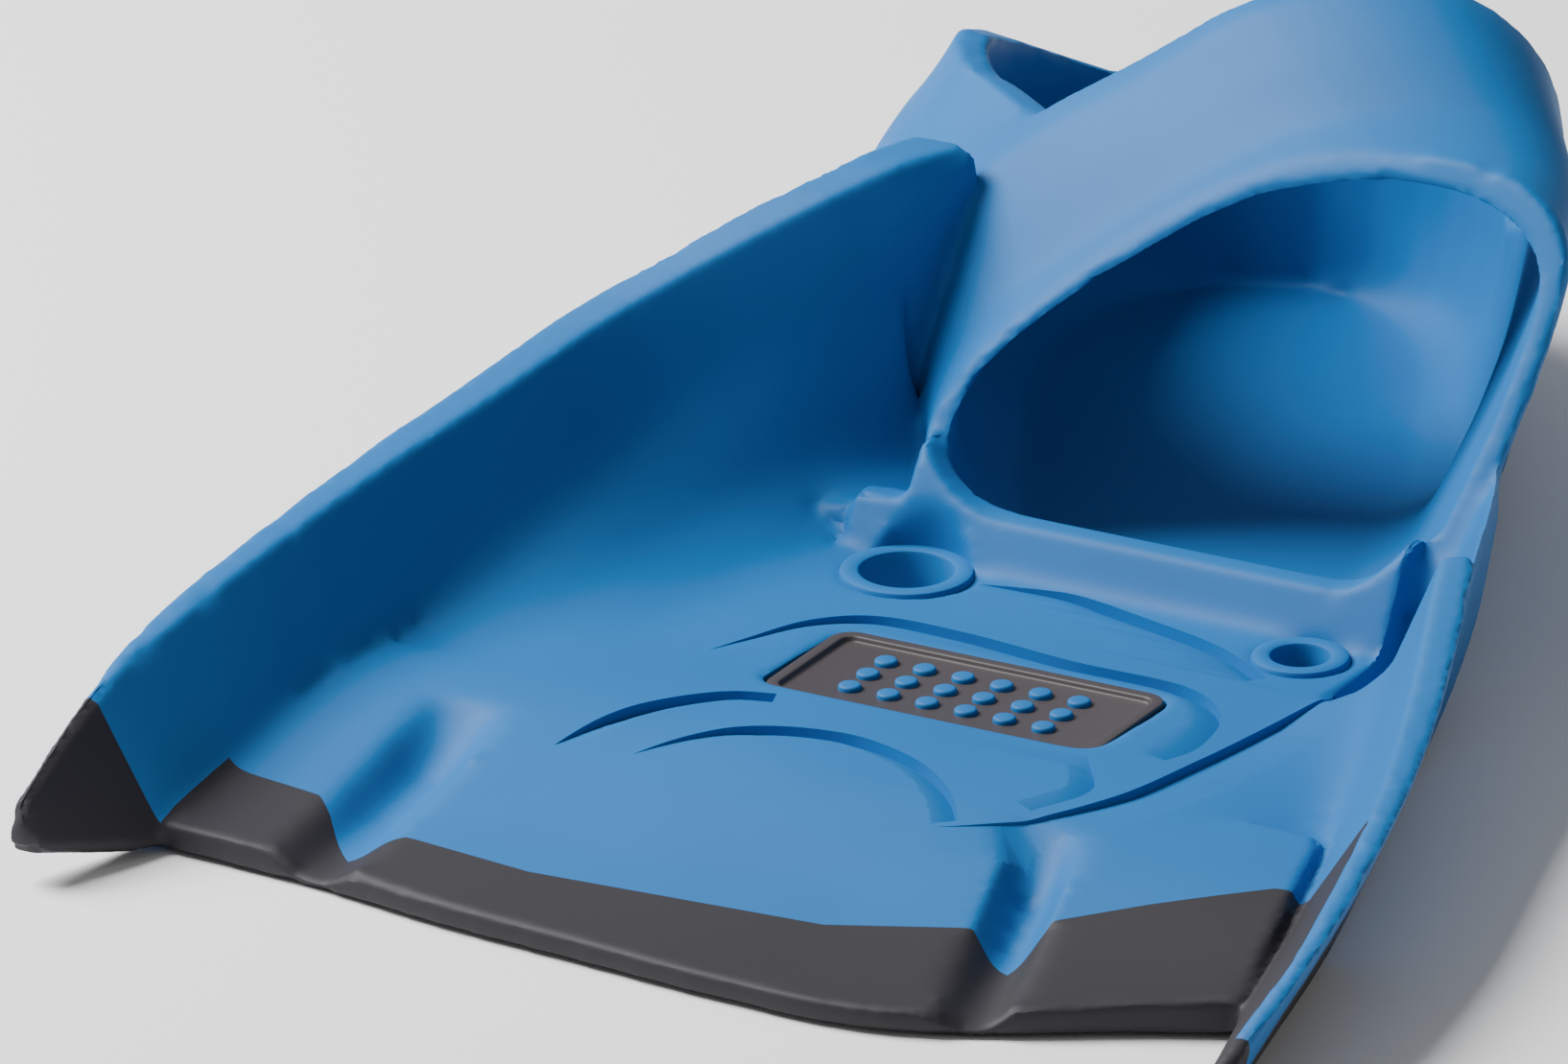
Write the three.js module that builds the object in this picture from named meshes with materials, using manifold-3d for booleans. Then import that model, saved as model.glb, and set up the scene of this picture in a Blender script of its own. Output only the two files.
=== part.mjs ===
// Short-blade silicone training swim fin for the right foot, lying flat on its sole.
// Millimetres. +X is the big-toe side, +Y points to the heel, +Z is up.
// The origin is on the floor, midway along the length and the width.
import * as THREE from "three";
import { LoftGeometry } from "three/addons/geometries/LoftGeometry.js";
import { mergeVertices } from "three/addons/utils/BufferGeometryUtils.js";
import Module from "manifold-3d";

const wasm = await Module();
wasm.setup();

// ---- Driving dimensions ----

const GAP = 0.35; // between neighbouring pieces
const SKY = 120; // above everything

// Foot pocket: its own axis turns away from the blade's, to the outer side of the foot.
const LIP_CENTRE = new THREE.Vector2(6.5, 18);
const FOOT_TURN = THREE.MathUtils.degToRad(22);
const SOLE_THICKNESS = 6;
const WALL = 5;
const INNER_SIDE_SHARE = 0.75; // the big-toe side is thinner
const HEEL_BACK = 145; // inside of the heel, along the foot axis from the toe lip
const HEEL_START = 98; // where the sides start to round into the heel
const SKIRT = 9; // how far the outer side of the pocket flares at the heel
const TOE_END = 28; // the toe outline holds this far back
const SOLE_HEEL = { along: 104, across: -3, radius: 46 }; // the rounded heel end of the sole
const BAND_REAR = 62; // rear edge of the instep band
const BAND_FOOT = 40; // height where the instep band meets the side walls
const TOE_LEAN = THREE.MathUtils.degToRad(30); // the toe opening's rim leans back
const LIP_TOP = 17;

// Inside outlines across the foot, and above the footbed: at the toes, at the instep and at the heel.
const TOE_OUTLINE = [
  [-30, 0], [-38, 8], [-39.5, 20], [-36, 28], [-28, 36], [-11, 48.5], [7, 59.5], [24, 65.5],
  [40, 67], [51, 65], [57, 59], [56, 50], [50, 34], [42, 17], [35, 4], [28, 0],
];
const INSTEP_OUTLINE = [
  [-34, 0], [-42, 6], [-46, 20], [-44, 34], [-38, 47], [-27, 57], [-12, 66], [3, 76],
  [20, 80.5], [36, 79], [48, 70], [52, 56], [50, 40], [46, 18], [42, 4], [32, 0],
];
const HEEL_OUTLINE = [
  [-36, 0], [-46, 5], [-50, 16], [-49, 32], [-45, 46], [-42, 58], [-30, 68], [-5, 74],
  [20, 74], [34, 66], [41, 54], [43, 40], [43, 26], [41, 14], [37, 4], [30, 0],
];
const RING_SEGMENTS = 40;
const INSTEP_AT = 62;
const HEEL_AT = 96;

// Collar line of the ankle opening: distance from the toe lip and height, on either side of the foot.
const COLLAR_OUTER_SIDE = [[62, 100], [64, 67], [84, 65], [104, 64], [120, 58], [150, 45], [175, 43]];
const COLLAR_INNER_SIDE = [[62, 100], [66, 52], [76, 45], [100, 36], [120, 33], [150, 34], [175, 34]];

// Blade.
const DECK_UNDER = 1;
const DECK_TOP = [[-150, 4], [-136, 5], [-121, 6.6], [-82, 12.5], [-42, 11], [3, 9], [20, 9]];
const TRAILING_EDGE = [
  [-112, -135.5], [-90, -136.8], [-64, -138.7], [-41, -142.5], [-13, -145], [14, -147.3],
  [39, -147], [53, -142], [79, -127], [88, -122.5], [112, -110],
];
const COLOUR_LINE = [
  [-112, -116], [-91, -116.7], [-74, -119], [-55, -125.3], [-31, -128], [20, -125],
  [42, -117], [53, -110.7], [65, -101.2], [81, -89.8], [112, -72],
];
const CHANNELS = {
  lateral: { tipX: -64, rootX: -65, halfWidth: 8, halfFloor: 2.5, colourLine: -130 },
  medial: { tipX: 56.5, rootX: 39.5, halfWidth: 6.3, halfFloor: 2, colourLine: -122 },
};
const CHANNEL_TIP = -146;
const CHANNEL_END = -85; // the channels run out where the platform begins
const CHANNEL_LIP = 1.2; // flat edge beside the channel
const CHANNEL_UNDER = 0.5;
const CHANNEL_FLOOR = [[-160, 1.8], [-110, 2.4], [-98, 4.5], [-85, 11]];

// Side rails: where the inner wall meets the blade, and the inner edge of the crest.
const RAILS = {
  lateral: {
    base: 6,
    side: -1,
    colourLine: -137,
    stations: [
      { y: -159.5, footX: -102.5, footZ: 7.5, crestX: -104.5, crestZ: 13.5, crestWidth: 2, underZ: 6 },
      { y: -137, footX: -92.5, footZ: 4, crestX: -104.5, crestZ: 24, crestWidth: 2, underZ: 1 },
      { y: -116, footX: -91, footZ: 7, crestX: -104, crestZ: 28, crestWidth: 4, underZ: 1 },
      { y: -59, footX: -89, footZ: 12, crestX: -99.5, crestZ: 35, crestWidth: 6, underZ: 1 },
      { y: -28, footX: -85.5, footZ: 20, crestX: -94, crestZ: 39.5, crestWidth: 7, underZ: 1 },
      { y: 3, footX: -79, footZ: 29.5, crestX: -85.5, crestZ: 46.5, crestWidth: 7.5, underZ: 1 },
      { y: 39, footX: -54, footZ: 53, crestX: -58, crestZ: 62.5, crestWidth: 8.5, underZ: 20 },
      { y: 54, footX: -50, footZ: 62, crestX: -52, crestZ: 62.8, crestWidth: 10, underZ: 40 },
    ],
  },
  medial: {
    base: 4.5,
    side: 1,
    colourLine: -151,
    stations: [
      { y: -159.5, footX: 104.5, footZ: 7.5, crestX: 107, crestZ: 12.5, crestWidth: 2.5, underZ: 6 },
      { y: -131, footX: 94.5, footZ: 4, crestX: 106.5, crestZ: 20.5, crestWidth: 2.8, underZ: 1 },
      { y: -87, footX: 84, footZ: 7, crestX: 96.5, crestZ: 26, crestWidth: 4, underZ: 1 },
      { y: -46, footX: 71.5, footZ: 11, crestX: 82, crestZ: 29, crestWidth: 5.5, underZ: 1 },
      { y: -10, footX: 60.5, footZ: 18, crestX: 68, crestZ: 35, crestWidth: 6, underZ: 1 },
      { y: 18, footX: 55, footZ: 30, crestX: 59, crestZ: 42, crestWidth: 5, underZ: 12 },
      { y: 36, footX: 50, footZ: 40, crestX: 52, crestZ: 44, crestWidth: 4, underZ: 24 },
    ],
  },
};
const RAIL_UNDER_LEAST = 0.5;

// Platform in front of the toe opening, with its badge and the two rings.
const PLATFORM = { left: -58, right: 50, rear: 17.6 };
const LIP = {
  left: -41, right: 48.6, webLeft: -50, thickness: 5, footThickness: 9.6,
  cornerLeft: -24, cornerRight: 37, cornerRise: 9,
};
const BADGE = { x: -1.2, y: -40, length: 60, width: 28, corner: 4, floorZ: 7, bedZ: 8.3, topZ: 10.8 };
const PIPS = { columns: 6, rows: 3, spacingX: 7, spacingY: 6, radius: 1.9, topZ: 10.6 };
const RINGS = {
  lateral: { x: -35, y: 2.5, hole: 7.5, outer: 10.3 },
  medial: { x: 37.5, y: 1, hole: 4.7, outer: 7.3 },
};
const RING_TOP = 10;

// Flexing places.
const BLADE_FLEX = { y: -97, z: 9, radius: 28 };
const STRAP_FLEX = { along: 85, z: 33, radius: 31.5 };

const BLUE = { color: 0x3a92cf, roughness: 0.62, metalness: 0 };
const CHARCOAL = { color: 0x3d3b42, roughness: 0.6, metalness: 0 };
const GREY = { color: 0x6b6566, roughness: 0.5, metalness: 0 };

// ---- Making solids ----

function solid(geometry) {
  const bare = new THREE.BufferGeometry();
  bare.setAttribute("position", geometry.getAttribute("position"));
  bare.setIndex(geometry.index);
  const merged = mergeVertices(bare, 1e-4);
  const vertProperties = merged.attributes.position.array;
  const triVerts = new Uint32Array(merged.index.array);
  return new wasm.Manifold(new wasm.Mesh({ numProp: 3, vertProperties, triVerts }));
}

// A solid skinned over rings of points, whichever way round the rings run.
function loft(sections) {
  const start = sections[0];
  const end = sections.at(-1);
  const turn = new THREE.Vector3();
  const forward = new THREE.Vector3();
  start.forEach((point, i) => {
    turn.add(new THREE.Vector3().crossVectors(point, start[(i + 1) % start.length]));
    forward.add(end[i]).sub(point);
  });
  const rings = turn.dot(forward) > 0 ? sections : sections.map((ring) => [...ring].reverse());
  return solid(new LoftGeometry(rings, { capStart: true, capEnd: true }));
}

// An upright prism over a plan outline, from z = low to z = high.
function prism(outline, low = -10, high = SKY) {
  const shape = outline instanceof THREE.Shape ? outline : new THREE.Shape(outline);
  const settings = { depth: high - low, bevelEnabled: false, curveSegments: 12 };
  const geometry = new THREE.ExtrudeGeometry(shape, settings);
  return solid(geometry.translate(0, 0, low));
}

// An upright round drum.
function drum(x, y, radius, low, high, sides = 40) {
  const cylinder = new THREE.CylinderGeometry(radius, radius, high - low, sides);
  return solid(cylinder.rotateX(Math.PI / 2).translate(x, y, (low + high) / 2));
}

function v2(points) {
  return points.map((point) => new THREE.Vector2(...point));
}

function largest(body) {
  const pieces = body.decompose();
  return pieces.reduce((best, piece) => (piece.volume() > best.volume() ? piece : best));
}

// A smooth height or edge line through the given places.
function line(points) {
  const places = points.map((point) => point[0]);
  const values = points.map((point) => point[1]);
  const fit = new THREE.CubicInterpolant(places, values, 1);
  return (place) => fit.evaluate(place)[0];
}

function steps(from, to, count) {
  return Array.from({ length: count + 1 }, (_, i) => from + ((to - from) * i) / count);
}

const fin = new THREE.Group();

function addPiece(name, body, finish) {
  const made = largest(body).getMesh();
  const geometry = new THREE.BufferGeometry();
  geometry.setAttribute("position", new THREE.BufferAttribute(new Float32Array(made.vertProperties), 3));
  geometry.setIndex(new THREE.BufferAttribute(new Uint32Array(made.triVerts), 1));
  geometry.computeVertexNormals();
  const mesh = new THREE.Mesh(geometry, new THREE.MeshStandardMaterial(finish));
  mesh.name = name;
  fin.add(mesh);
}

// ---- Foot pocket ----

// A place in the foot's own frame: along the foot axis, across it, and up.
function footPoint(along, across, z) {
  const x = LIP_CENTRE.x + across * Math.cos(FOOT_TURN) - along * Math.sin(FOOT_TURN);
  const y = LIP_CENTRE.y + across * Math.sin(FOOT_TURN) + along * Math.cos(FOOT_TURN);
  return new THREE.Vector3(x, y, z);
}

function outlineAt(along) {
  const toInstep = THREE.MathUtils.smoothstep(along, TOE_END, INSTEP_AT);
  const toHeel = THREE.MathUtils.smoothstep(along, INSTEP_AT, HEEL_AT);
  return TOE_OUTLINE.map((toe, i) => {
    const point = new THREE.Vector2(...toe);
    point.lerp(new THREE.Vector2(...INSTEP_OUTLINE[i]), toInstep);
    return point.lerp(new THREE.Vector2(...HEEL_OUTLINE[i]), toHeel);
  });
}

// The pocket's ring at a place along the foot: the inside when thickness is 0, else grown outwards.
function pocketRing(along, thickness) {
  const intoHeel = Math.max(0, (along - HEEL_START) / (HEEL_BACK + thickness - HEEL_START));
  const narrowing = Math.sqrt(Math.max(1 - intoHeel * intoHeel, 0.02));
  const footbed = thickness > 0 ? 0 : SOLE_THICKNESS;
  return new THREE.SplineCurve(outlineAt(along)).getPoints(RING_SEGMENTS).map((point) => {
    const side = point.x < 0 ? thickness / 46 : (thickness * INNER_SIDE_SHARE) / 52;
    const flare = thickness > 0 && point.x < 0 ? SKIRT * THREE.MathUtils.smoothstep(along, 40, 80) : 0;
    const skirt = flare * (1 - THREE.MathUtils.smoothstep(point.y, 36, 58));
    const lift = thickness > 0 ? (point.y * (SOLE_THICKNESS + thickness * 0.8)) / 66 : 0;
    return footPoint(along, (point.x * (1 + side) - skirt) * narrowing, footbed + point.y + lift);
  });
}

function pocketBody(thickness) {
  const front = steps(-45, HEEL_START, 14);
  const back = [0.2, 0.38, 0.54, 0.68, 0.8, 0.9, 0.98].map((t) => HEEL_START + t * (HEEL_BACK + thickness - HEEL_START));
  return loft([...front, ...back].map((along) => pocketRing(along, thickness)));
}

const pocketOutside = pocketBody(WALL);
const pocketInside = pocketBody(0);
const pocketKeepOut = pocketBody(WALL + GAP);

// Everything in front of the leaning rim of the toe opening.
const toeFront = (() => {
  const lipY = LIP_CENTRE.y;
  const back = lipY + (SKY - LIP_TOP) * Math.tan(TOE_LEAN);
  const side = [[-200, -10], [lipY, -10], [lipY, LIP_TOP], [back, SKY], [-200, SKY]];
  return loft([-150, 150].map((x) => side.map(([y, z]) => new THREE.Vector3(x, y, z))));
})();

// Everything above the ankle collar.
const aboveCollar = loft(
  [
    [-120, COLLAR_OUTER_SIDE],
    [-46, COLLAR_OUTER_SIDE],
    [44, COLLAR_INNER_SIDE],
    [120, COLLAR_INNER_SIDE],
  ].map(([across, collar]) => {
    const edge = [...collar, [175, SKY + 20], [62, SKY + 20]];
    return edge.map(([along, z]) => footPoint(along, across, z));
  }),
);

function footBox(alongFrom, alongTo, acrossFrom, acrossTo, low, high) {
  const corners = [
    [acrossFrom, low], [acrossTo, low], [acrossTo, high], [acrossFrom, high],
  ];
  const ring = (along) => corners.map(([across, z]) => footPoint(along, across, z));
  return loft([ring(alongFrom), ring(alongTo)]);
}

// Everything the heel strap's hinge leaves to the side walls.
function strapRoot(radius) {
  const drum = new THREE.CylinderGeometry(radius, radius, 300, 64);
  const barrel = solid(drum.rotateZ(Math.PI / 2));
  const turned = new THREE.Matrix4().makeRotationZ(FOOT_TURN);
  turned.setPosition(footPoint(STRAP_FLEX.along, 0, STRAP_FLEX.z));
  return barrel.transform(turned.elements).add(footBox(-120, STRAP_FLEX.along, -150, 150, -10, 200));
}

const shell = pocketOutside.subtract(pocketInside).subtract(toeFront).subtract(aboveCollar);
const upperShell = shell.subtract(footBox(-120, 250, -150, 150, -10, SOLE_THICKNESS));
const rootShell = upperShell.intersect(strapRoot(STRAP_FLEX.radius));
const bandPart = footBox(-120, BAND_REAR + 0.5, -150, 150, BAND_FOOT, 200);
const belowBand = rootShell.subtract(footBox(-120, BAND_REAR + 0.5 + GAP, -150, 150, BAND_FOOT - GAP, 200));
addPiece("instep_band", rootShell.intersect(bandPart), BLUE);
addPiece("side_wall_lateral", belowBand.intersect(footBox(-120, 250, -150, -GAP / 2, -10, 200)), BLUE);
addPiece("side_wall_medial", belowBand.intersect(footBox(-120, 250, GAP / 2, 150, -10, 200)), BLUE);

const heelCentre = footPoint(SOLE_HEEL.along, SOLE_HEEL.across, 0);
const soleHeel = drum(heelCentre.x, heelCentre.y, SOLE_HEEL.radius, -10, SOLE_THICKNESS - GAP, 64);
const sole = pocketOutside
  .intersect(footBox(-120, SOLE_HEEL.along, -150, 150, -10, SOLE_THICKNESS - GAP).add(soleHeel))
  .subtract(prism(v2([[-150, -200], [150, -200], [150, LIP_CENTRE.y], [-150, LIP_CENTRE.y]])));
addPiece("sole_plate", sole, BLUE);

const strap = upperShell.subtract(strapRoot(STRAP_FLEX.radius + GAP + 0.1));
addPiece("heel_strap", strap, BLUE);

// ---- Blade, platform and rails ----

const deckTop = line(DECK_TOP);
const trailingEdge = line(TRAILING_EDGE);
const colourLine = line(COLOUR_LINE);

// Everything the blade's hinge gives to the blade, out to a radius about the hinge line.
function bladeSide(radius) {
  const drum = new THREE.CylinderGeometry(radius, radius, 300, 96);
  drum.rotateZ(Math.PI / 2).translate(0, BLADE_FLEX.y, BLADE_FLEX.z);
  const ahead = [[-150, -200], [150, -200], [150, BLADE_FLEX.y], [-150, BLADE_FLEX.y]];
  return solid(drum).add(prism(v2(ahead)));
}

const blade = bladeSide(BLADE_FLEX.radius);
const bladeKeepOut = bladeSide(BLADE_FLEX.radius + GAP);

// Rails: the inner wall leans outwards to a narrow crest.
function railRing(rail, y) {
  const at = (key) => line(rail.stations.map((station) => [station.y, station[key]]))(y);
  const outside = at("crestX") + rail.side * at("crestWidth");
  const under = Math.max(at("underZ"), RAIL_UNDER_LEAST);
  return [
    [at("footX"), under],
    [at("footX"), at("footZ")],
    [at("crestX"), at("crestZ")],
    [outside, at("crestZ")],
    [at("footX") + rail.side * rail.base, under],
  ].map(([x, z]) => new THREE.Vector3(x, y, z));
}

// Where the rail's rings stand: at every station and evenly between.
function railPlaces(rail) {
  const ys = rail.stations.map((station) => station.y);
  return [ys[0], ...ys.slice(1).flatMap((y, i) => steps(ys[i], y, 4).slice(1))];
}

function railBody(rail) {
  return loft(railPlaces(rail).map((y) => railRing(rail, y)));
}

// The plan region on the inner side of a rail's foot.
function insideRail(rail) {
  const foot = line(rail.stations.map((station) => [station.y, station.footX]));
  const edge = railPlaces(rail).map((y) => [foot(y) - rail.side * 1.3 * GAP, y]);
  return prism(v2([...edge, [0, edge.at(-1)[1]], [0, edge[0][1]]]));
}

// Everything on the charcoal side of the colour line.
function tipSide(gap) {
  const edge = steps(-112, 112, 32).map((x) => [x, colourLine(x) + gap]);
  return prism(v2([[-112, -200], ...edge, [112, -200]]));
}

function aheadOf(y) {
  return prism(v2([[-200, -200], [200, -200], [200, y], [-200, y]]));
}

for (const [name, rail] of Object.entries(RAILS)) {
  const whole = railBody(rail);
  const blue = whole.intersect(blade).subtract(aheadOf(rail.colourLine + GAP));
  addPiece(`tip_rail_${name}`, whole.intersect(aheadOf(rail.colourLine)), CHARCOAL);
  addPiece(`side_rail_${name}`, blue, BLUE);
  addPiece(`rail_root_${name}`, whole.subtract(bladeKeepOut).subtract(pocketKeepOut), BLUE);
}

// The deck: one thin plate from rail to rail, cut into panels by the two channels.
const edgePoints = steps(-112, 112, 32).map((x) => [x, trailingEdge(x)]);
const bladePlan = prism(v2([...edgePoints, [112, 60], [-112, 60]]));
const deck = loft(
  steps(-152, PLATFORM.rear, 24).map((y) => {
    const ring = [[-115, DECK_UNDER], [115, DECK_UNDER], [115, deckTop(y)], [-115, deckTop(y)]];
    return ring.map(([x, z]) => new THREE.Vector3(x, y, z));
  }),
);
const bladeDeck = deck.intersect(bladePlan).intersect(blade);

// A channel's straight centre line.
function channelX(channel) {
  return (y) => THREE.MathUtils.mapLinear(y, CHANNEL_TIP, CHANNEL_END, channel.tipX, channel.rootX);
}

// A plan strip along a channel, between two distances from its centre line.
function channelStrip(channel, left, right) {
  const middle = channelX(channel);
  const ys = [-160, CHANNEL_TIP, -115, CHANNEL_END];
  const up = ys.map((y) => [middle(y) + left, y]);
  const down = ys.map((y) => [middle(y) + right, y]).reverse();
  return prism(v2([...up, ...down]));
}

const channelFloor = line(CHANNEL_FLOOR);
for (const [name, channel] of Object.entries(CHANNELS)) {
  const edge = channel.halfWidth + CHANNEL_LIP;
  const middle = channelX(channel);
  const trough = loft([...steps(-158, -100, 4), -94, CHANNEL_END].map((y) => {
    const top = deckTop(y);
    const floor = Math.min(channelFloor(y), top - 0.4);
    const ring = [
      [-edge, CHANNEL_UNDER], [edge, CHANNEL_UNDER], [edge, top], [channel.halfWidth, top],
      [channel.halfFloor, floor], [-channel.halfFloor, floor], [-channel.halfWidth, top], [-edge, top],
    ];
    return ring.map(([x, z]) => new THREE.Vector3(middle(y) + x, y, z));
  })).intersect(bladePlan);
  addPiece(`channel_${name}`, trough.subtract(aheadOf(channel.colourLine + GAP)), BLUE);
  addPiece(`tip_channel_${name}`, trough.intersect(aheadOf(channel.colourLine)), CHARCOAL);
}

// Panels: the deck less the channels, parted at the outer edge of each channel.
const reach = {
  lateral: CHANNELS.lateral.halfWidth + CHANNEL_LIP + GAP,
  medial: CHANNELS.medial.halfWidth + CHANNEL_LIP + GAP,
};
function panelRegion(fromLine, toLine) {
  const ys = [-160, CHANNEL_TIP, -115, CHANNEL_END, -60];
  const left = ys.map((y) => [fromLine(y), y]);
  const right = ys.map((y) => [toLine(y), y]).reverse();
  return prism(v2([...left, ...right]));
}
const lateralMiddle = channelX(CHANNELS.lateral);
const medialMiddle = channelX(CHANNELS.medial);
const medialEdgeOfCentre = (y) => medialMiddle(y) + reach.medial - GAP;
const panels = {
  lateral: bladeDeck
    .intersect(panelRegion(() => -115, (y) => lateralMiddle(y) - reach.lateral))
    .intersect(insideRail(RAILS.lateral)),
  centre: bladeDeck
    .intersect(panelRegion((y) => lateralMiddle(y) - reach.lateral + GAP, medialEdgeOfCentre))
    .subtract(channelStrip(CHANNELS.lateral, -reach.lateral, reach.lateral))
    .subtract(channelStrip(CHANNELS.medial, -reach.medial, reach.medial)),
  medial: bladeDeck
    .intersect(panelRegion((y) => medialMiddle(y) + reach.medial, () => 115))
    .intersect(insideRail(RAILS.medial)),
};
for (const [name, panel] of Object.entries(panels)) {
  addPiece(`panel_${name}`, panel.subtract(tipSide(GAP)), BLUE);
  addPiece(`tip_panel_${name}`, panel.intersect(tipSide(0)), CHARCOAL);
}

// The platform carries the badge and the two rings, and the lip closes the pocket's front.
function badgeOutline(grow) {
  const halfLength = BADGE.length / 2 + grow;
  const halfWidth = BADGE.width / 2 + grow;
  const corner = BADGE.corner + grow;
  const shape = new THREE.Shape();
  shape.moveTo(BADGE.x - halfLength + corner, BADGE.y - halfWidth);
  shape.absarc(BADGE.x + halfLength - corner, BADGE.y - halfWidth + corner, corner, -Math.PI / 2, 0);
  shape.absarc(BADGE.x + halfLength - corner, BADGE.y + halfWidth - corner, corner, 0, Math.PI / 2);
  shape.absarc(BADGE.x - halfLength + corner, BADGE.y + halfWidth - corner, corner, Math.PI / 2, Math.PI);
  shape.absarc(BADGE.x - halfLength + corner, BADGE.y - halfWidth + corner, corner, Math.PI, 1.5 * Math.PI);
  return shape;
}

// Where the platform gives way to the fairing on each side; both are cut at the same places along it.
const platformEdge = {
  lateral: line([[-80, PLATFORM.left], [-20, PLATFORM.left], [40, PLATFORM.left + 12]]),
  medial: line([[-80, PLATFORM.right], [-20, PLATFORM.right - 1], [40, PLATFORM.right - 2]]),
};
const platformPlaces = steps(-78, 36, 14);
const platformPlan = prism(v2([
  ...platformPlaces.map((y) => [platformEdge.lateral(y), y]),
  ...platformPlaces.map((y) => [platformEdge.medial(y), y]).reverse(),
]));
const foundation = deck.add(loft([-80, PLATFORM.rear].map((y) => {
  return [[-115, 0], [115, 0], [115, 4], [-115, 4]].map(([x, z]) => new THREE.Vector3(x, y, z));
})));
let platform = foundation
  .intersect(platformPlan)
  .subtract(bladeKeepOut)
  .subtract(prism(badgeOutline(GAP), BADGE.floorZ, SKY));

// The lip's section across its run: a broad sloping front, a narrow top, and an upright back up to its level top.
function lipRing(x, rise) {
  const lean = rise * Math.tan(TOE_LEAN);
  const front = PLATFORM.rear - LIP.thickness;
  const low = deckTop(PLATFORM.rear) + GAP;
  const ring = [
    [PLATFORM.rear - LIP.footThickness, low], [PLATFORM.rear, low], [PLATFORM.rear, LIP_TOP],
    [PLATFORM.rear + lean, LIP_TOP + rise], [front + lean, LIP_TOP + rise],
  ];
  return ring.map(([y, z]) => new THREE.Vector3(x, y, z));
}

// The lip's top is level between its corners and climbs into the side walls beyond them. On the outer side of the
// foot a level web carries it on to the fairing.
const lipWeb = loft([LIP.webLeft, LIP.left + 1].map((x) => lipRing(x, 0.1)));
let lip = loft(steps(LIP.left, LIP.right, 30).map((x) => {
  const beyond = Math.max((LIP.cornerLeft - x) / (LIP.cornerLeft - LIP.left), 0)
    + Math.max((x - LIP.cornerRight) / (LIP.right - LIP.cornerRight), 0);
  return lipRing(x, LIP.cornerRise * beyond ** 2);
})).add(lipWeb);
for (const [name, ring] of Object.entries(RINGS)) {
  const clearance = drum(ring.x, ring.y, ring.outer + GAP, -5, SKY);
  platform = platform.subtract(clearance);
  lip = lip.subtract(clearance);
  const hole = drum(ring.x, ring.y, ring.hole, -5, SKY);
  addPiece(`drain_ring_${name}`, drum(ring.x, ring.y, ring.outer, 0, RING_TOP).subtract(hole), BLUE);
}
addPiece("platform", platform, BLUE);
addPiece("toe_lip", lip, BLUE);

// Fairings fill the valley between the platform and each rail's root.
function fairing(rail, edge) {
  const foot = line(rail.stations.map((station) => [station.y, station.footX]));
  const footZ = line(rail.stations.map((station) => [station.y, station.footZ]));
  const underZ = line(rail.stations.map((station) => [station.y, station.underZ]));
  return loft(platformPlaces.map((y) => {
    const inner = edge(y) + rail.side * GAP;
    const outer = foot(y);
    const low = deckTop(y);
    const ring = [
      [outer, Math.max(underZ(y) - 1, 0)], [inner, 0], [inner, low],
      [inner + (outer - inner) * 0.5, low + (footZ(y) - low) * 0.3], [outer, footZ(y)],
    ];
    return ring.map(([x, z]) => new THREE.Vector3(x, y, z));
  })).intersect(insideRail(rail)).subtract(bladeKeepOut).subtract(pocketKeepOut);
}
addPiece("fairing_lateral", fairing(RAILS.lateral, platformEdge.lateral), BLUE);
addPiece("fairing_medial", fairing(RAILS.medial, platformEdge.medial), BLUE);

// Badge: a grey plate over a blue bed whose round pips stand in the plate's holes.
let plate = prism(badgeOutline(0), BADGE.bedZ + GAP, BADGE.topZ);
let bed = prism(badgeOutline(-0.5), BADGE.floorZ + GAP, BADGE.bedZ);
for (let row = 0; row < PIPS.rows; row++) {
  for (let column = 0; column < PIPS.columns; column++) {
    const x = BADGE.x + (column - (PIPS.columns - 1) / 2) * PIPS.spacingX;
    const y = BADGE.y + (row - (PIPS.rows - 1) / 2) * PIPS.spacingY;
    plate = plate.subtract(drum(x, y, PIPS.radius + GAP, 0, SKY, 12));
    bed = bed.add(drum(x, y, PIPS.radius, BADGE.floorZ + 0.5, PIPS.topZ, 12));
  }
}
addPiece("badge_plate", plate, GREY);
addPiece("badge_bed", bed, BLUE);

export default fin;
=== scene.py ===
import math

import bmesh
import bpy
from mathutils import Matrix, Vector
from mathutils.bvhtree import BVHTree


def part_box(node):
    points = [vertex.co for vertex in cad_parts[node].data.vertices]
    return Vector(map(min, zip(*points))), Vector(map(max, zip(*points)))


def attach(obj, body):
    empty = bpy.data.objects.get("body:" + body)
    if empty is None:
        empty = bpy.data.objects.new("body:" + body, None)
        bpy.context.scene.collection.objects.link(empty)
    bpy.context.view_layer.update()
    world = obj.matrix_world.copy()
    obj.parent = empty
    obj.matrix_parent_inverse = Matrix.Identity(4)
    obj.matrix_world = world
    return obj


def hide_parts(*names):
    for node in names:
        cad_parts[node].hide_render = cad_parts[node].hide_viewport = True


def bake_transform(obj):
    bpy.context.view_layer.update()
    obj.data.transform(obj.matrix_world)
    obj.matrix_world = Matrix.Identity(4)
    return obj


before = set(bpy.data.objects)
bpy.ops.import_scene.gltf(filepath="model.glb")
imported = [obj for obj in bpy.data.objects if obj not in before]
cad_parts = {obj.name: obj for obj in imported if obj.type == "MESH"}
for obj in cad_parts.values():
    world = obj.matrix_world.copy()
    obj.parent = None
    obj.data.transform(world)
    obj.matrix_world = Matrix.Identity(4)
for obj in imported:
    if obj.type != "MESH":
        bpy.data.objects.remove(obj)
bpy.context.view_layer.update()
MM = 0.001

# ---- Camera ----
# A long lens from the tip's side, above the blade and turned a little to the big-toe side.

AIM = Vector((-51.8, -7.9, 17)) * MM
AZIMUTH = math.radians(29)
ELEVATION = math.radians(21.97)
DISTANCE = 4.0

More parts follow.
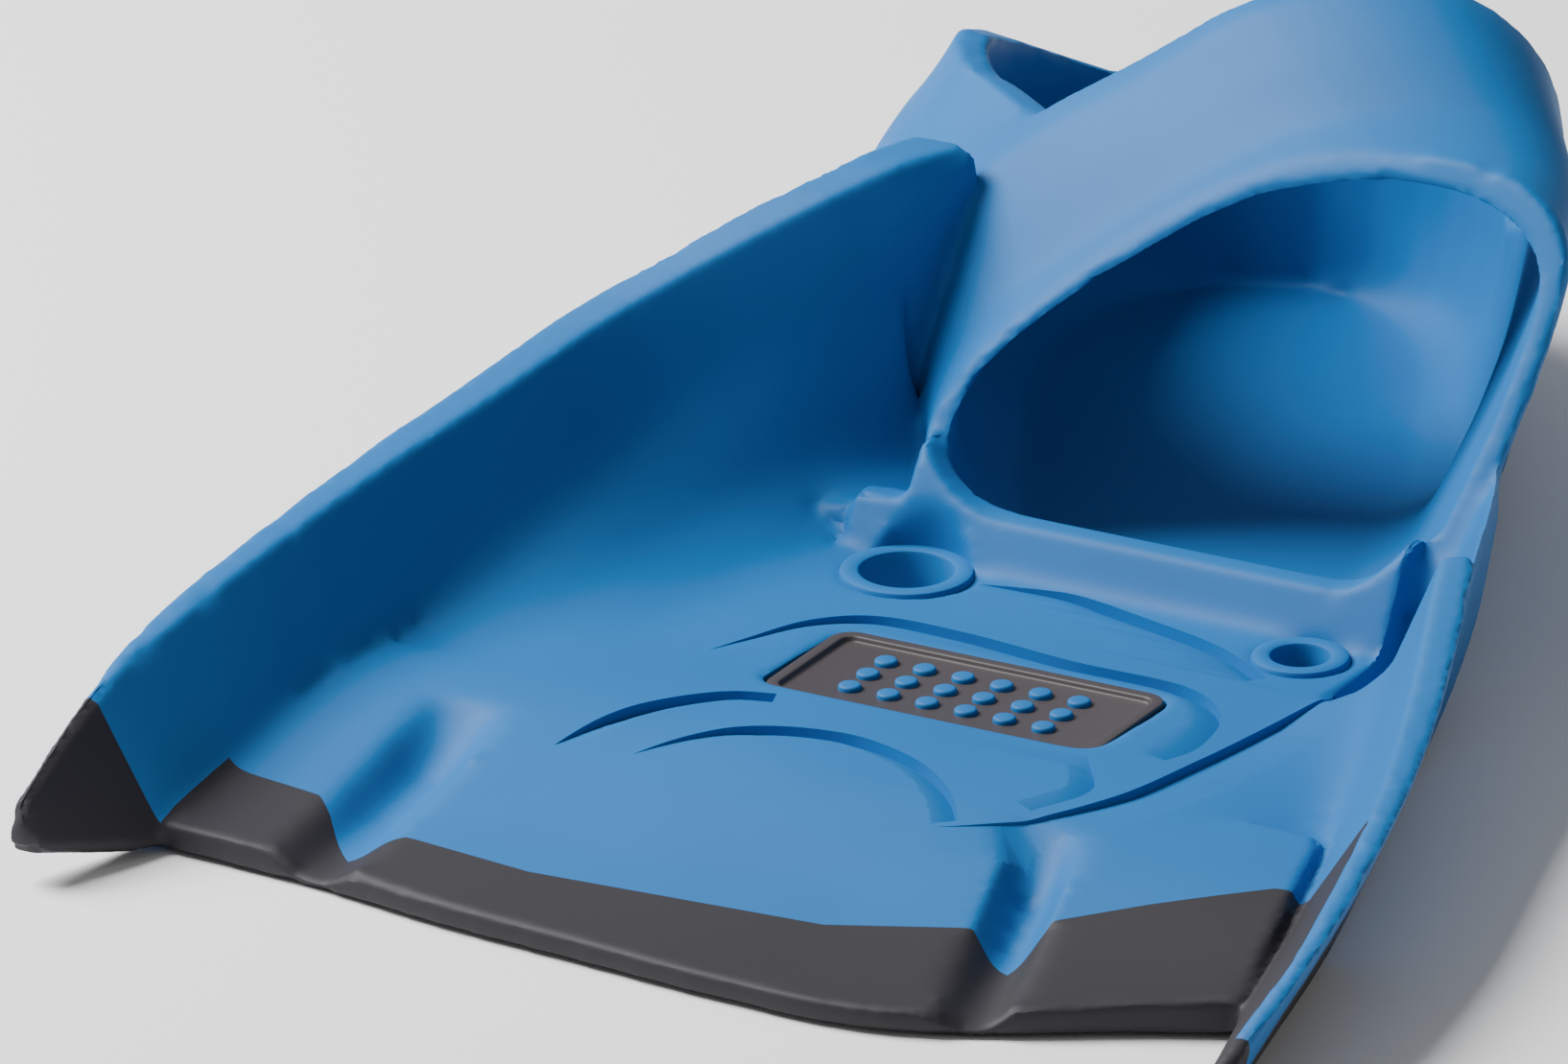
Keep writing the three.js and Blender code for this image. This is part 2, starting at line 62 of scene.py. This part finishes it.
lens = bpy.data.cameras.new("camera")
lens.lens = 571
lens.sensor_width = 36
lens.clip_end = 20
camera = bpy.data.objects.new("camera", lens)
backwards = Vector((
    math.sin(AZIMUTH) * math.cos(ELEVATION),
    -math.cos(AZIMUTH) * math.cos(ELEVATION),
    math.sin(ELEVATION),
))
camera.location = AIM + backwards * DISTANCE
camera.rotation_euler = (math.pi / 2 - ELEVATION, 0, AZIMUTH)
bpy.context.scene.collection.objects.link(camera)
bpy.context.scene.camera = camera

# ---- Silicone moulding ----
# The whole fin but its badge is one soft moulding: foot pocket, band, heel cup, platform, rails and blade.
# The CAD solids of its regions are joined across their small gaps and skinned as one body, whose edges are
# then rounded as a silicone mould rounds them.

SEAM_FILL = 0.35 * MM
SKIN_STEP = 0.85 * MM
BADGE_NODES = ("badge_plate", "badge_bed")
RING_NODES = ("drain_ring_lateral", "drain_ring_medial")
FLAT_UNDER = 0.02 * MM


def new_object(name, shape):
    """A linked object from a bmesh, which is freed."""
    mesh = bpy.data.meshes.new(name)
    shape.to_mesh(mesh)
    shape.free()
    made = bpy.data.objects.new(name, mesh)
    bpy.context.scene.collection.objects.link(made)
    return made


def apply_modifiers(piece):
    """Turns a piece's modifiers into mesh."""
    bpy.context.view_layer.update()
    seen = piece.evaluated_get(bpy.context.evaluated_depsgraph_get())
    mesh = bpy.data.meshes.new_from_object(seen)
    piece.modifiers.clear()
    piece.data = mesh


def cut(piece, tool, operation):
    """A boolean with another closed object."""
    boolean = piece.modifiers.new("cut", "BOOLEAN")
    boolean.operation = operation
    boolean.solver = "MANIFOLD"
    boolean.object = tool
    apply_modifiers(piece)


def prism(name, outline, low, high):
    """A closed upright prism over a plan outline."""
    shape = bmesh.new()
    corners = [shape.verts.new((x, y, low)) for x, y in outline]
    face = shape.faces.new(corners)
    extruded = bmesh.ops.extrude_face_region(shape, geom=[face])
    top = [item for item in extruded["geom"] if isinstance(item, bmesh.types.BMVert)]
    bmesh.ops.translate(shape, verts=top, vec=(0, 0, high - low))
    bmesh.ops.recalc_face_normals(shape, faces=shape.faces)
    return new_object(name, shape)


joined = bmesh.new()
moulding_nodes = [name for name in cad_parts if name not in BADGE_NODES + RING_NODES]
for name in moulding_nodes:
    region = bmesh.new()
    region.from_mesh(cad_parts[name].data)
    bmesh.ops.remove_doubles(region, verts=region.verts, dist=0.001 * MM)
    region.normal_update()
    for vertex in region.verts:
        vertex.co += vertex.normal * SEAM_FILL
    grown = bpy.data.meshes.new(name)
    region.to_mesh(grown)
    region.free()
    joined.from_mesh(grown)

# A low web of the same silicone closes the corner between the lip, the outer fairing and the pocket's wall.
WEB_PLAN = [(-56, 12), (-38, 12), (-39.5, 28), (-46, 42), (-58, 42)]
web = prism("web", [(x * MM, y * MM) for x, y in WEB_PLAN], 0.5 * MM, 14 * MM)
joined.from_mesh(web.data)
bpy.data.objects.remove(web)
moulding = new_object("moulding", joined)
skin = moulding.modifiers.new("skin", "REMESH")
skin.mode = "VOXEL"
skin.voxel_size = SKIN_STEP
apply_modifiers(moulding)

# Edges are rounded evenly and straightened along their own run; the valleys and the broad faces are then
# faired, clear of the edges.
ROUNDING_PASSES = 3
STRAIGHTENING_PASSES = 60
FAIRING_PASSES = 24
VALLEY_PASSES = 80
EDGE_SHARPNESS = 1.02
EDGE_MARGIN = 2


def smooth(shape, verts, passes):
    for _ in range(passes):
        bmesh.ops.smooth_vert(
            shape, verts=verts, factor=0.5, use_axis_x=True, use_axis_y=True, use_axis_z=True
        )


def straighten(verts, passes):
    """Evens out an edge along its own run: each vertex moves towards its neighbours on the same edge."""
    beside = {}
    for vertex in verts:
        near = [edge.other_vert(vertex) for edge in vertex.link_edges]
        beside[vertex] = [other for other in near if other in verts]
    for _ in range(passes):
        moved = {}
        for vertex, near in beside.items():
            if len(near) > 1:
                moved[vertex] = sum((other.co for other in near), Vector()) / len(near)
        for vertex, place in moved.items():
            vertex.co = vertex.co.lerp(place, 0.5)


shape = bmesh.new()
shape.from_mesh(moulding.data)
smooth(shape, shape.verts, ROUNDING_PASSES)
shape.normal_update()
edges = {vertex for vertex in shape.verts if vertex.calc_shell_factor() > EDGE_SHARPNESS}
straighten(edges, STRAIGHTENING_PASSES)
ridges = {
    vertex for vertex in edges if sum(edge.calc_face_angle_signed() for edge in vertex.link_edges) > 0
}
for _ in range(EDGE_MARGIN):
    ridges = ridges | {edge.other_vert(vertex) for vertex in ridges for edge in vertex.link_edges}
for node in ("fairing_lateral", "fairing_medial"):
    low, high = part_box(node)
    valley = [
        vertex for vertex in shape.verts
        if vertex not in ridges
        and all(low[i] < vertex.co[i] < high[i] for i in (0, 1, 2))
        and vertex.normal.z > 0
    ]
    smooth(shape, valley, VALLEY_PASSES)
for _ in range(EDGE_MARGIN):
    edges = edges | {edge.other_vert(vertex) for vertex in edges for edge in vertex.link_edges}
smooth(shape, [vertex for vertex in shape.verts if vertex not in edges], FAIRING_PASSES)
smooth(shape, shape.verts, 1)
for vertex in shape.verts:
    vertex.co.z = max(vertex.co.z, FLAT_UNDER)
shape.to_mesh(moulding.data)
shape.free()

# ---- Silicone finish ----
# Moulded liquid silicone rubber has a satin skin: a soft, broad gloss with the faint grain of the mould's
# blasted steel, and a little cloudiness in the colour.

GRAIN = 0.9 * MM
CLOUD = 35 * MM


def linear(code):
    """An sRGB hex colour as linear RGBA."""
    parts = [int(code[i : i + 2], 16) / 255 for i in (0, 2, 4)]
    return [p / 12.92 if p <= 0.04045 else ((p + 0.055) / 1.055) ** 2.4 for p in parts] + [1]


def add_node(material, kind, settings=None, links=None):
    """One shader node with its settings, and its inputs linked from other nodes' outputs."""
    made = material.node_tree.nodes.new(kind)
    for key, value in (settings or {}).items():
        if isinstance(key, int) or key in made.inputs:
            made.inputs[key].default_value = value
        else:
            setattr(made, key, value)
    for key, source in (links or {}).items():
        material.node_tree.links.new(source, made.inputs[key])
    return made


def silicone(name, colour, shade, roughness):
    """Satin moulded silicone, clouded between two close colours."""
    material = bpy.data.materials.new(name)
    material.use_nodes = True
    bsdf = material.node_tree.nodes["Principled BSDF"]
    place = add_node(material, "ShaderNodeTexCoord").outputs["Object"]
    cloud = add_node(material, "ShaderNodeTexNoise", {"Scale": 1 / CLOUD, "Detail": 2}, {"Vector": place})
    mix = add_node(
        material,
        "ShaderNodeMix",
        {"data_type": "RGBA", 6: linear(colour), 7: linear(shade)},
        {0: cloud.outputs["Fac"]},
    )
    material.node_tree.links.new(mix.outputs[2], bsdf.inputs["Base Color"])
    grain = add_node(material, "ShaderNodeTexNoise", {"Scale": 1 / GRAIN, "Detail": 3}, {"Vector": place})
    bump = add_node(
        material, "ShaderNodeBump", {"Strength": 0.12, "Distance": 0.1 * MM}, {"Height": grain.outputs["Fac"]}
    )
    material.node_tree.links.new(bump.outputs["Normal"], bsdf.inputs["Normal"])
    bsdf.inputs["Roughness"].default_value = roughness
    bsdf.inputs["IOR"].default_value = 1.41
    return material


blue_silicone = silicone("blue_moulded_silicone", "0868ab", "085f9e", 0.62)


def finished(piece, material, crease=35):
    """Gives a piece its material and shades it smooth up to its creases."""
    piece.data.materials.clear()
    piece.data.materials.append(material)
    piece.data.polygons.foreach_set("use_smooth", [True] * len(piece.data.polygons))
    piece.data.set_sharp_from_angle(angle=math.radians(crease))


# ---- Ripples round the badge ----
# Concentric ripples are moulded into the platform round the badge. Each has a steep outer wall, with a soft
# ramp rising from its foot, and thins away to nothing where it starts.

RIPPLE_DEPTH = 2 * MM
RIPPLE_RAMP = 4.2 * MM
RIPPLE_STEP = 2 * MM
PLATFORM_DROP = 1.5 * MM
PLATFORM_RAMP = 11 * MM
ABOVE = 1.2 * MM
WALL_LEAN = 0.25 * MM
CLEAR_START = 0.3 * MM
RAMP_CLEAR = 0.1 * MM
RIPPLE_FADE = 0.35
BORDER_FADE = 0.2
BORDER_TAIL = 0.4
SKY = 0.2
RIPPLES = {
    "tip": [(-34.6, -92.6), (-23.5, -74.9), (-7.8, -68.6), (7, -72.3), (17.9, -80.6), (24.7, -89.7)],
    "left_of_badge": [(-46.7, -93.8), (-42.2, -75.7), (-33.2, -62.3), (-25.2, -58.3)],
    "right_of_badge": [(29.5, -56), (36.4, -66), (37.8, -73), (33.5, -82)],
    "behind_badge": [
        (-46, -50.9), (-42.3, -37.8), (-37.7, -24.3), (-28.9, -16.9), (-12.5, -16.5),
        (7.2, -19), (27.7, -19.7), (38.6, -28.2), (42.7, -42.7), (41.2, -51.8),
    ],
    "before_lip": [(-24.7, 4.2), (-6.7, 6.8), (11.7, 3.4), (25.2, -1.3), (36.8, -9.4)],
}
PLATFORM_BORDER = [
    (49.3, -5.7), (47.9, -27), (45.8, -48.5), (43.2, -68.9), (35.8, -83.6), (25, -91.4), (16, -95),
]


def curved(points):
    """Evenly spaced places on a smooth curve through plan points in millimetres."""
    ends = [points[0]] + list(points) + [points[-1]]
    places = []
    for before, start, end, after in zip(ends, ends[1:], ends[2:], ends[3:]):
        before, start, end, after = (Vector(point) * MM for point in (before, start, end, after))
        count = max(2, round((end - start).length / RIPPLE_STEP))
        for i in range(count):
            t = i / count
            bend = 2 * start + (end - before) * t + (2 * before - 5 * start + 4 * end - after) * t * t
            places.append(0.5 * (bend + (3 * start - before - 3 * end + after) * t ** 3))
    return places + [Vector(points[-1]) * MM]


surface = bmesh.new()
surface.from_mesh(moulding.data)
tree = BVHTree.FromBMesh(surface)


def surface_height(x, y):
    """The height of the moulding's upper surface at a plan place."""
    return tree.ray_cast(Vector((x, y, SKY)), Vector((0, 0, -1)))[0].z


def swept(name, rows):
    """A closed body drawn along its sections, each a row of the same number of points."""
    shape = bmesh.new()
    face = shape.faces.new([shape.verts.new(point) for point in rows[0]])
    for row, following in zip(rows, rows[1:]):
        inner = face
        made = bmesh.ops.extrude_face_region(shape, geom=[face])["geom"]
        face = next(item for item in made if isinstance(item, bmesh.types.BMFace))
        for vertex in face.verts:
            corner = min(range(len(row)), key=lambda i: (vertex.co - row[i]).length)
            vertex.co = following[corner]
        if row is not rows[0]:
            bmesh.ops.delete(shape, geom=[inner], context="FACES_ONLY")
    bmesh.ops.recalc_face_normals(shape, faces=shape.faces)
    return new_object(name, shape)


def ripple(name, route, depth, ramp, side, fade, tail=0):
    """A groove along a route: a steep wall on the route, and a ramp up to the surface on one side of it."""
    places = curved(route)
    rows = []
    for i, place in enumerate(places):
        run = (places[min(i + 1, len(places) - 1)] - places[max(i - 1, 0)]).normalized()
        outward = Vector((-run.y, run.x))
        height = surface_height(place.x, place.y)
        far = place + outward * ramp * side
        grown = min(1, i / (len(places) * fade))
        if tail:
            grown = min(grown, (len(places) - 1 - i) / (len(places) * tail))
        low = depth * grown - CLEAR_START * (1 - grown)
        far_height = surface_height(far.x, far.y)
        section = [
            (-WALL_LEAN * side, height + ABOVE), (0, height - low),
            (ramp * side, far_height + RAMP_CLEAR), (ramp * side, far_height + ABOVE),
        ]
        rows.append([Vector((*(place + outward * across), up)) for across, up in section])
    return swept(name, rows)


ripples = [
    ripple(name, route, RIPPLE_DEPTH, RIPPLE_RAMP, -1, RIPPLE_FADE) for name, route in RIPPLES.items()
]
ripples.append(
    ripple("platform_border", PLATFORM_BORDER, PLATFORM_DROP, PLATFORM_RAMP, 1, BORDER_FADE, BORDER_TAIL)
)
surface.free()
for groove in ripples:
    cut(moulding, groove, "DIFFERENCE")
    bpy.data.objects.remove(groove)

# ---- Badge ----
# A grey hard-rubber plate with a narrow raised rim is bonded into a recess in the platform. Eighteen plain
# blue pips stand on its panel.

BADGE_CENTRE = Vector((-1.2, -40)) * MM
BADGE_LENGTH = 60 * MM
BADGE_WIDTH = 28 * MM
BADGE_CORNER = 4 * MM
BADGE_FLOOR = 7.2 * MM
BADGE_TOP = 10.9 * MM
RECESS_GAP = 0.5 * MM
RIM = 2 * MM
PANEL_DROP = 0.9 * MM
PANEL_SLOPE = 0.3 * MM
PLATE_ROUND = 0.3 * MM
RECESS_SINK = 0.2 * MM
RECESS_TOP = 20 * MM
PIP_RADIUS = 1.9 * MM
PIP_HEIGHT = 2.4 * MM
PIP_ROUND = 0.5 * MM
PIP_SPACING = (7 * MM, 6 * MM)
PIP_COUNT = (6, 3)


def rounded_slab(grow, low, high):
    """A bmesh slab with rounded corners on the badge's plan; also its top face."""
    shape = bmesh.new()
    bmesh.ops.create_grid(shape, x_segments=1, y_segments=1, size=0.5)
    size = (BADGE_LENGTH + 2 * grow, BADGE_WIDTH + 2 * grow, 1)
    bmesh.ops.scale(shape, verts=shape.verts, vec=size)
    bmesh.ops.bevel(
        shape, geom=shape.verts[:], offset=BADGE_CORNER + grow, segments=8, profile=0.5,
        affect="VERTICES", material=-1,
    )
    bmesh.ops.translate(shape, verts=shape.verts, vec=(*BADGE_CENTRE, low))
    made = bmesh.ops.extrude_face_region(shape, geom=shape.faces[:])["geom"]
    bmesh.ops.translate(
        shape, verts=[item for item in made if isinstance(item, bmesh.types.BMVert)], vec=(0, 0, high - low)
    )
    bmesh.ops.recalc_face_normals(shape, faces=shape.faces)
    return shape, max(shape.faces, key=lambda face: face.calc_center_median().z)


recess = new_object("recess", rounded_slab(RECESS_GAP, BADGE_FLOOR - RECESS_SINK, RECESS_TOP)[0])
cut(moulding, recess, "DIFFERENCE")
bpy.data.objects.remove(recess)

plate_shape, top = rounded_slab(0, BADGE_FLOOR, BADGE_TOP)
bmesh.ops.inset_region(plate_shape, faces=[top], thickness=RIM)
bmesh.ops.inset_region(plate_shape, faces=[top], thickness=PANEL_SLOPE, depth=-PANEL_DROP)
sharp = [edge for edge in plate_shape.edges if edge.calc_face_angle() > math.radians(35)]
bmesh.ops.bevel(
    plate_shape, geom=sharp, offset=PLATE_ROUND, segments=3, profile=0.5, affect="EDGES", material=-1
)
badge = new_object("badge", plate_shape)

pip_shape = bmesh.new()
for column in range(PIP_COUNT[0]):
    for row in range(PIP_COUNT[1]):
        centre = BADGE_CENTRE + Vector((
            (column - (PIP_COUNT[0] - 1) / 2) * PIP_SPACING[0],
            (row - (PIP_COUNT[1] - 1) / 2) * PIP_SPACING[1],
        ))
        pip = bmesh.ops.create_cone(
            pip_shape, cap_ends=True, segments=28, radius1=PIP_RADIUS, radius2=PIP_RADIUS, depth=PIP_HEIGHT
        )["verts"]
        bmesh.ops.translate(pip_shape, verts=pip, vec=(*centre, BADGE_TOP - PIP_HEIGHT / 2))
rims = [edge for edge in pip_shape.edges if edge.calc_face_angle() > math.radians(60)]
bmesh.ops.bevel(
    pip_shape, geom=rims, offset=PIP_ROUND, segments=3, profile=0.5, affect="EDGES", material=-1
)
pips = new_object("pips", pip_shape)

grey_rubber = silicone("grey_moulded_rubber", "474244", "3e393b", 0.45)
finished(badge, grey_rubber)
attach(badge, "foot_pocket")
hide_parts("badge_plate")
finished(pips, blue_silicone)
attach(pips, "foot_pocket")
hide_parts("badge_bed")

# ---- Drain rings ----
# Two round eyelets of the same silicone let water out in front of the lip. Each has a flat face with rounded
# edges, and stands a little above the platform.

RING_EDGE = 0.7 * MM
RING_FLANGE = 0.3 * MM
RING_FOOT = 0.4 * MM
EDGE_CORNER = 0.3
HOLE_SHARE = {"drain_ring_lateral": 0.7, "drain_ring_medial": 0.6}


def eyelet(node):
    """A ring turned about its own axis, over the CAD ring's place and size."""
    low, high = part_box(node)
    centre = (Vector(low) + Vector(high)) / 2
    outer = (high[0] - low[0]) / 2 + SEAM_FILL + RING_FLANGE
    hole = outer * HOLE_SHARE[node]
    top = high[2] + RING_FLANGE
    corner = RING_EDGE * EDGE_CORNER
    section = [
        (hole, RING_FOOT), (hole, top - RING_EDGE), (hole + corner, top - corner),
        (hole + RING_EDGE, top), (outer - RING_EDGE, top), (outer - corner, top - corner),
        (outer, top - RING_EDGE), (outer, RING_FOOT),
    ]
    shape = bmesh.new()
    profile = [shape.verts.new((centre.x + out, centre.y, up)) for out, up in section]
    edges = [shape.edges.new(pair) for pair in zip(profile, profile[1:] + profile[:1])]
    bmesh.ops.spin(
        shape, geom=profile + edges, cent=(centre.x, centre.y, 0), axis=(0, 0, 1), angle=2 * math.pi,
        steps=72, use_merge=True,
    )
    bmesh.ops.remove_doubles(shape, verts=shape.verts, dist=0.001 * MM)
    bmesh.ops.recalc_face_normals(shape, faces=shape.faces)
    return new_object("eyelet_" + node.split("_")[-1], shape)


for node in RING_NODES:
    ring = eyelet(node)
    finished(ring, blue_silicone)
    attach(ring, "foot_pocket")
    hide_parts(node)

# ---- Charcoal tip, blade, foot pocket and heel ----
# The tip is moulded first in charcoal silicone and the blue is moulded onto it; the colours meet on a crisp
# line over blade, channels and rails. The blade is cut off across the platform's front and the heel cup
# behind the band, each as its own piece.

TIP_LINE = [
    (-130, -200), (-130, -137), (-92.5, -137), (-91.8, -116.7), (-74, -119), (-70.3, -122), (-62.2, -130.5),
    (-54.7, -125.5), (-31, -128), (20, -125), (42.3, -117), (50.6, -121), (53.1, -110.7), (65, -101.2),
    (81, -89.8), (96, -87), (106, -131), (106.6, -151), (130, -151), (130, -200),
]
BLADE_START = -62 * MM
REACH = 0.2
UNDER = -0.01
FOOT_TURN = math.radians(22)
HEEL_START = 67
POCKET_SHARE = 0.6
FOOT_ORIGIN = Vector((6.5, 18))


def foot_place(along, across, up):
    """A place in the foot's own frame, which is turned from the blade's."""
    ahead = Vector((-math.sin(FOOT_TURN), math.cos(FOOT_TURN))) * along
    aside = Vector((math.cos(FOOT_TURN), math.sin(FOOT_TURN))) * across
    return Vector((*(FOOT_ORIGIN + ahead + aside), up)) * MM


def split(piece, name, tool):
    """Takes what lies inside the tool off a piece, as a piece of its own."""
    taken = bpy.data.objects.new(name, piece.data.copy())
    bpy.context.scene.collection.objects.link(taken)
    cut(taken, tool, "INTERSECT")
    cut(piece, tool, "DIFFERENCE")
    bpy.data.objects.remove(tool)
    return taken


ahead = [(-REACH, -REACH), (REACH, -REACH), (REACH, BLADE_START), (-REACH, BLADE_START)]
blade = split(moulding, "blade", prism("ahead", ahead, UNDER, REACH))
tip_plan = [(x * MM, y * MM) for x, y in TIP_LINE]
tip = split(blade, "tip", prism("tip_plan", tip_plan, UNDER, REACH))
HEEL_CORNERS = ((HEEL_START, -150), (HEEL_START, 150), (250, 150), (250, -150))
behind = [foot_place(along, across, 0).xy for along, across in HEEL_CORNERS]
heel = split(moulding, "heel", prism("behind", behind, UNDER, REACH))
pocket = moulding
pocket.name = "foot_pocket_moulding"
thinning = pocket.modifiers.new("thinning", "DECIMATE")
thinning.ratio = POCKET_SHARE
apply_modifiers(pocket)

POCKET_NODES = (
    "sole_plate", "toe_lip", "instep_band", "side_wall_lateral", "side_wall_medial", "platform",
    "rail_root_lateral", "rail_root_medial", "fairing_lateral", "fairing_medial",
)
TIP_NODES = [name for name in moulding_nodes if name.startswith("tip_")]
BLADE_NODES = [name for name in moulding_nodes if name.startswith(("panel_", "channel_", "side_rail_"))]

charcoal_silicone = silicone("charcoal_moulded_silicone", "29272d", "252429", 0.62)

finished(pocket, blue_silicone)
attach(pocket, "foot_pocket")
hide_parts(*POCKET_NODES)

for piece, material, nodes in ((blade, blue_silicone, BLADE_NODES), (tip, charcoal_silicone, TIP_NODES)):
    finished(piece, material)
    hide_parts(*nodes)
    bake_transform(piece)

finished(heel, blue_silicone)
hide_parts("heel_strap")
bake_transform(heel)

# ---- Floor and light ----

floor_shape = bmesh.new()
bmesh.ops.create_grid(floor_shape, x_segments=1, y_segments=1, size=6)
floor = new_object("floor", floor_shape)
pale = bpy.data.materials.new("pale_floor")
pale.use_nodes = True
pale.node_tree.nodes["Principled BSDF"].inputs["Base Color"].default_value = linear("fcfcfc")
pale.node_tree.nodes["Principled BSDF"].inputs["Roughness"].default_value = 0.9
floor.data.materials.append(pale)

world = bpy.data.worlds.new("studio")
world.use_nodes = True
world.node_tree.nodes["Background"].inputs["Color"].default_value = (1, 1, 1, 1)
world.node_tree.nodes["Background"].inputs["Strength"].default_value = 0.26
bpy.context.scene.world = world


def soft_light(name, power, size, place, aim):
    """A square studio softbox."""
    data = bpy.data.lights.new(name, "AREA")
    data.energy = power
    data.size = size
    lamp = bpy.data.objects.new(name, data)
    lamp.location = place
    lamp.rotation_euler = (Vector(aim) - Vector(place)).to_track_quat("-Z", "Y").to_euler()
    bpy.context.scene.collection.objects.link(lamp)


soft_light("overhead", 46, 0.8, (-0.9, -0.25, 1.05), (0, 0, 0))
